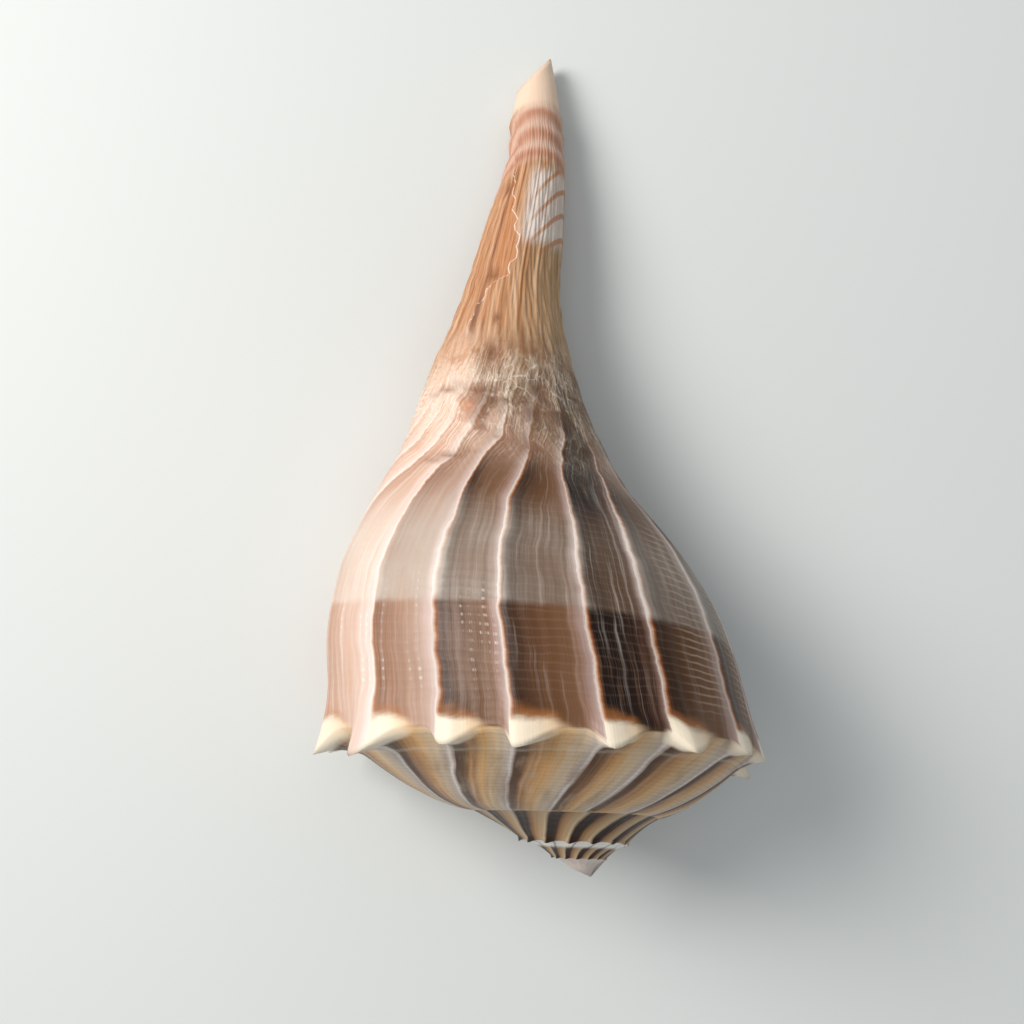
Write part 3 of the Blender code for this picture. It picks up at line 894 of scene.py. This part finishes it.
def paintRamp(paint, at):
    place, share, wander, blotch = at.place, at.share, at.wander, at.blotch
    middle = 1.0 - (place.fract() - 0.5) ** 2.0 * 4.0
    grown = 1.0 - (place + wander * 0.16).fract() + (at.streak - 0.5) * 0.5 * middle
    ramp = paint.ramp(grown, stripes["ramp"])
    ramp = paint.blend((blotch - 0.52) * 3.0, ramp, tint["rampBrown"])
    ramp = paint.blend((0.44 - blotch) * 2.0, ramp, tint["rampPale"])
    line = (share + wander * 0.05).band(0.80, 0.83, 0.012) * (1.0 - place.step(13.0, 14.0))
    ramp = paint.blend(line * 0.25, ramp, tint["rampPale"])
    striae = ((at.across + wander * 1.2) * 6.0).sine().step(0.3, 0.95) * blotch * 0.25
    ramp = paint.blend(striae, ramp, tint["striae"])

    # dark flames and a row of white knobs on the spire, and a pale cap
    flames = paint.ramp(1.0 - (place + wander * 0.3).fract(), stripes["spire"])
    ramp = paint.blend(at.spire, ramp, flames)
    knobs = place.step(*looks["knobsBegin"]) * (share + at.streak * 0.2).step(0.50, 0.72)
    gaps = 0.55 * (place.fract() - 0.35).band(0.0, 0.12, 0.05)
    ramp = paint.blend(knobs * (1.0 - gaps), ramp, tint["white"])
    ramp = paint.blend(place.step(*looks["capBegins"]) * 0.9, ramp, tint["cap"])
    # painted shade: patches of the shaded cream along the suture crease
    suture = (1.0 - share.step(0.01, 0.07)) * (1.0 - at.spire) * blotch.step(0.35, 0.6)
    return paint.blend(suture * 0.6, ramp, tint["creamPaintedShade"])


def paintKeel(paint, at, ramp, side):
    # cream spines with an orange-brown patch just below each; the cream is painted lit on each spine's tip
    # and younger flank, and in painted shade on its older flank
    grown, ragged = at.grown, at.ragged
    below = at.across + ragged * 2.5 - (0.5 + 3.6 * grown.step(0.15, 0.95))
    orange = below.band(-0.4, 1.5, 1.1) * grown.band(0.5, 0.955, 0.12)
    side = paint.blend(orange * (0.25 + at.darkness * 0.45), side, tint["orangeEdge"])
    colour = paint.blend(at.across.step(-0.6, 0.4), ramp, side)
    standing = (grown + ragged * 0.15).step(0.28, 0.62).above(1.0 - grown.step(0.03, 0.16))
    low = (at.across + standing * 2.2 + ragged * 1.5).step(-0.9, 0.5)
    keel = low * (1.0 - below.step(-1.0, 0.8)) * (0.05 + 0.95 * standing) * (1.0 - at.spire)
    # painted light and shade: lit cream near the tip and on the younger flank, shaded cream (a painted shade)
    # on the older flank
    lit = grown.step(0.3, 0.9).above(1.0 - grown.step(0.0, 0.2))
    return paint.blend(keel, colour, paint.blend(lit, tint["creamPaintedShade"], tint["cream"]))


def paintShell():
    paint = Paint("whelkShell")
    at = readMarks(paint)
    side = paint.blend(at.neck * 0.92, paintSide(paint, at), paintNeck(paint, at))
    side = paintCanal(paint, at, side)
    colour = paintKeel(paint, at, paintRamp(paint, at), side)
    colour = paint.blend(at.inside, colour, tint["inside"])
    rough = looks["roughness"] + at.streak * 0.14 + at.fine * 0.06
    height = at.thread * 0.10 + at.hair * 0.3 + at.streak * 0.3 + at.fine * 0.12 + at.patch * at.neck * 0.8
    inputs = {"Strength": looks["bumpStrength"], "Distance": looks["bumpDistance"], "Height": height}
    shader = paint.shader.inputs
    shader["Specular IOR Level"].default_value = looks["specular"]
    paint.feed(shader["Base Color"], colour)
    paint.feed(shader["Roughness"], rough)
    paint.feed(shader["Normal"], paint.node("ShaderNodeBump", None, inputs))
    return paint.material


def deselect():
    for each in bpy.context.selected_objects:
        each.select_set(False)


def makeShell():
    weave = weaveShell()
    mesh = bpy.data.meshes.new("whelkShell")
    mesh.from_pydata(layDown(np.concatenate(weave.points)), [], weave.faces)
    marks = np.concatenate(weave.marks)
    inside = np.concatenate(weave.inside)
    maps = {"growthMap": marks[:, 0:2], "turnMap": marks[:, 2:4], "scarMap": marks[:, 5:7],
            "zoneMap": np.stack((marks[:, 4], inside), -1)}
    for name, values in maps.items():
        layer = mesh.uv_layers.new(name=name)
        layer.uv.foreach_set("vector", values.astype(np.float32).ravel())
    mesh.update()
    shell = bpy.data.objects.new("whelkShell", mesh)
    bpy.context.collection.objects.link(shell)
    deselect()
    shell.select_set(True)
    bpy.context.view_layer.objects.active = shell
    bpy.ops.object.mode_set(mode="EDIT")
    bpy.ops.mesh.select_all(action="SELECT")
    bpy.ops.mesh.normals_make_consistent(inside=False)
    bpy.ops.object.mode_set(mode="OBJECT")
    bpy.ops.object.shade_smooth()
    mesh.materials.append(paintShell())
    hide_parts("whelk_shell")
    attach(shell, "root")
    print("shell made:", len(mesh.vertices), "points,", len(mesh.polygons), "faces")


studio = {
    "cameraHeight": 0.39854,
    "cameraPlace": (-0.0061, -0.0512),
    "cameraTilt": 4.9,
    "cameraNear": 0.01,
    "lens": 50.9,
    "sensor": 36.0,
    "floorSize": 3.0,
    "floorHeight": -0.0001,
    "floorColour": (213, 216, 214),
    "floorRoughness": 0.6,
    "skyColour": (0.91, 0.96, 1.0, 1.0),
    "skyStrength": 0.38,
}

# Where each lamp is, the side of its square in metres, its power and its colour. Both look at the origin.
lamps = {
    "window": ((-0.75, 0.35, 0.75), 0.6, 13.0, (1.0, 0.965, 0.925)),
    "ceiling": ((0.1, -0.1, 1.1), 0.9, 1.6, (0.95, 0.98, 1.0)),
}


def makeFloor():
    deselect()
    bpy.ops.mesh.primitive_plane_add(size=studio["floorSize"], location=(0.0, 0.0, studio["floorHeight"]))
    floor = bpy.context.active_object
    floor.name = "paleFloor"
    paint = Paint("paleFloor")
    paint.shader.inputs["Base Color"].default_value = srgb(studio["floorColour"])
    paint.shader.inputs["Roughness"].default_value = studio["floorRoughness"]
    floor.data.materials.append(paint.material)


def addLamp(name, place, size, power, colour):
    data = bpy.data.lights.new(name, "AREA")
    data.shape = "SQUARE"
    data.size = size
    data.energy = power
    data.color = colour
    lamp = bpy.data.objects.new(name, data)
    bpy.context.collection.objects.link(lamp)
    lamp.location = place
    lamp.rotation_euler = (-Vector(place)).to_track_quat("-Z", "Y").to_euler()


def lightStudio():
    world = bpy.data.worlds.new("softRoom")
    world.use_nodes = True
    background = world.node_tree.nodes["Background"]
    background.inputs["Color"].default_value = studio["skyColour"]
    background.inputs["Strength"].default_value = studio["skyStrength"]
    bpy.context.scene.world = world
    for name, values in lamps.items():
        addLamp(name, *values)
    bpy.context.scene.view_settings.view_transform = "Standard"


def placeCamera():
    data = bpy.data.cameras.new("camera")
    data.lens = studio["lens"]
    data.sensor_width = studio["sensor"]
    data.clip_start = studio["cameraNear"]
    camera = bpy.data.objects.new("camera", data)
    bpy.context.collection.objects.link(camera)
    camera.location = (*studio["cameraPlace"], studio["cameraHeight"])
    camera.rotation_euler = (math.radians(studio["cameraTilt"]), 0.0, 0.0)
    bpy.context.scene.camera = camera


makeShell()
makeFloor()
lightStudio()
placeCamera()
print("studio ready")
